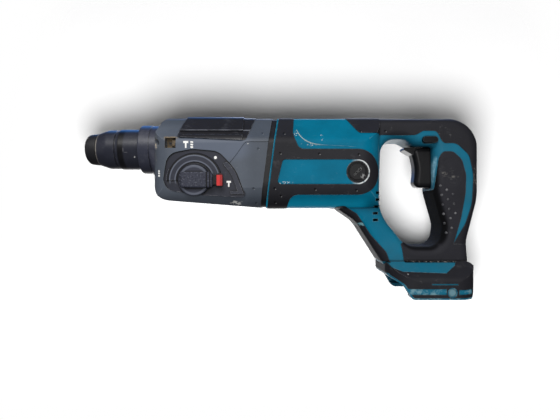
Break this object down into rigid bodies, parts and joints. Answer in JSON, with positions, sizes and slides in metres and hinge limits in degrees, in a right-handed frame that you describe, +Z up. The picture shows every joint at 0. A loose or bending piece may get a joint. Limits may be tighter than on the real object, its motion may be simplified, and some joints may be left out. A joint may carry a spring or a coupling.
{
  "type": "cordless rotary hammer",
  "caption": "Cordless D-handle rotary hammer, bare: bit chuck, mode knob, geared hammer mechanism, motor, trigger and a battery foot with slide rails.",
  "frame": {"origin": "mouth of the chuck on the bit axis, just ahead of the bit socket's wall", "axes": "+Z up, the bit points to -X and the handle is at +X, +Y is the tool's right side"},
  "size_m": [0.3457, 0.0815, 0.1553],
  "materials": {
    "teal_shell": "satin moulded plastic with a fine grain, scuffed at the edges",
    "soft_black": "matte soft overmould, finely dimpled in places",
    "soft_grip": "matte soft overmould with a dimpled grip texture",
    "grey_casing": "slate grey casing, satin, lightly scratched",
    "dark_casing": "dark satin casing, worn at its rim",
    "dark_plastic": "dark satin plastic",
    "black_plastic": "black satin plastic",
    "red_plastic": "red satin plastic",
    "black_rubber": "matte rubber",
    "steel": "ground steel",
    "bearing_steel": "polished steel",
    "cast_alloy": "cast light alloy",
    "bronze": "sintered bronze",
    "copper": "copper",
    "laminated_steel": "laminated steel",
    "ferrite": "dull ferrite",
    "carbon": "dull carbon"
  },
  "bodies": {
    "housing": {"armature_bearings": "bearing_steel", "barrel": "dark_casing", "bearing_plate": "cast_alloy", "brace_pads": "soft_black", "brush_caps": "dark_plastic", "brush_holders": "black_plastic", "carbon_brushes": "carbon", "contact_blades": "copper", "field_magnets": "ferrite", "foot_pads": "soft_black", "foot_screws": "bearing_steel", "gear_housing": "grey_casing", "gear_screws": "bearing_steel", "inner_bracket": "cast_alloy", "intermediate_bearings": "bearing_steel", "joint_ring": "dark_plastic", "left_grip_panel": "soft_grip", "left_handle_spine": "soft_black", "left_housing": "teal_shell", "left_motor_band": "soft_black", "motor_yoke": "steel", "right_grip_panel": "soft_grip", "right_handle_spine": "soft_black", "right_housing": "teal_shell", "right_motor_band": "soft_black", "saddle_pad": "soft_black", "selector_plate": "dark_plastic", "shell_screws": "bearing_steel", "shift_rod": "steel", "spindle_bearing": "bearing_steel", "spindle_bush": "bronze", "switch_body": "black_plastic", "terminal_block": "black_plastic"},
    "spindle": {"tool_holder": "steel", "nose_cap": "black_rubber", "lock_balls": "bearing_steel", "spindle_gear": "steel", "sleeve_spring": "steel"},
    "sleeve": {"lock_sleeve": "dark_plastic", "lock_ring": "steel"},
    "bolt": {"impact_bolt": "steel"},
    "intermediate": {"intermediate_shaft": "steel", "intermediate_gear": "steel", "wobble_hub": "steel"},
    "wobble": {"wobble_arm": "steel"},
    "piston": {"piston": "steel"},
    "striker": {"striker": "steel", "striker_seal": "black_rubber"},
    "motor": {"armature_shaft": "steel", "armature_core": "laminated_steel", "armature_windings": "copper", "commutator": "copper", "fan": "black_plastic"},
    "selector": {"selector_knob": "dark_plastic", "selector_crank": "steel"},
    "lock_button": {"lock_button": "red_plastic"},
    "shift": {"shift_slider": "steel"},
    "trigger": {"trigger": "black_plastic"},
    "reverse": {"reverse_lever": "black_plastic"}
  },
  "joints": [
    {"name": "spindle_spin", "type": "hinge", "parent": "housing", "child": "spindle", "pos_m": [0, 0, 0], "axis": [1, 0, 0], "continuous": true},
    {"name": "sleeve_slide", "type": "slide", "parent": "spindle", "child": "sleeve", "axis": [1, 0, 0], "range_m": [0, 0.007], "stiffness_N_per_m": 1500, "springref_m": -0.006, "deforming": ["sleeve_spring"]},
    {"name": "bolt_slide", "type": "slide", "parent": "spindle", "child": "bolt", "axis": [1, 0, 0], "range_m": [0, 0.004]},
    {"name": "intermediate_spin", "type": "hinge", "parent": "housing", "child": "intermediate", "pos_m": [0.12, 0.01643, -0.0195], "axis": [1, 0, 0], "continuous": true},
    {"name": "motor_spin", "type": "hinge", "parent": "housing", "child": "motor", "pos_m": [0.2, 0, -0.023], "axis": [1, 0, 0], "continuous": true},
    {"name": "wobble_rock", "type": "hinge", "parent": "housing", "child": "wobble", "pos_m": [0.126, 0.01643, -0.0195], "axis": [0, 0.7647, 0.6444], "range_deg": [-13.48, 13.48]},
    {"name": "piston_slide", "type": "slide", "parent": "housing", "child": "piston", "axis": [1, 0, 0], "range_m": [-0.00599, 0.00599]},
    {"name": "striker_slide", "type": "slide", "parent": "piston", "child": "striker", "axis": [1, 0, 0], "range_m": [-0.004, 0.004]},
    {"name": "selector_turn", "type": "hinge", "parent": "housing", "child": "selector", "pos_m": [0.1023, -0.036, -0.03], "axis": [0, -1, 0], "range_deg": [0, 165]},
    {"name": "lock_button_press", "type": "slide", "parent": "selector", "child": "lock_button", "axis": [-1, 0, 0], "range_m": [0, 0.002], "stiffness_N_per_m": 800, "springref_m": -0.002},
    {"name": "shift_slide", "type": "slide", "parent": "housing", "child": "shift", "axis": [-1, 0, 0], "range_m": [0, 0.0099]},
    {"name": "trigger_pull", "type": "slide", "parent": "housing", "child": "trigger", "axis": [1, 0, 0], "range_m": [0, 0.007], "stiffness_N_per_m": 900, "springref_m": -0.004},
    {"name": "reverse_push", "type": "slide", "parent": "housing", "child": "reverse", "axis": [0, 1, 0], "range_m": [-0.0025, 0.0025]}
  ],
  "couplings": [
    {"joint": "intermediate_spin", "follows": "spindle_spin", "ratio": -3.6364},
    {"joint": "motor_spin", "follows": "spindle_spin", "ratio": 15.455},
    {"joint": "wobble_rock", "follows": "piston_slide", "rad_per_m": 39.216},
    {"joint": "selector_turn", "follows": "shift_slide", "rad_per_m": 290.7}
  ]
}
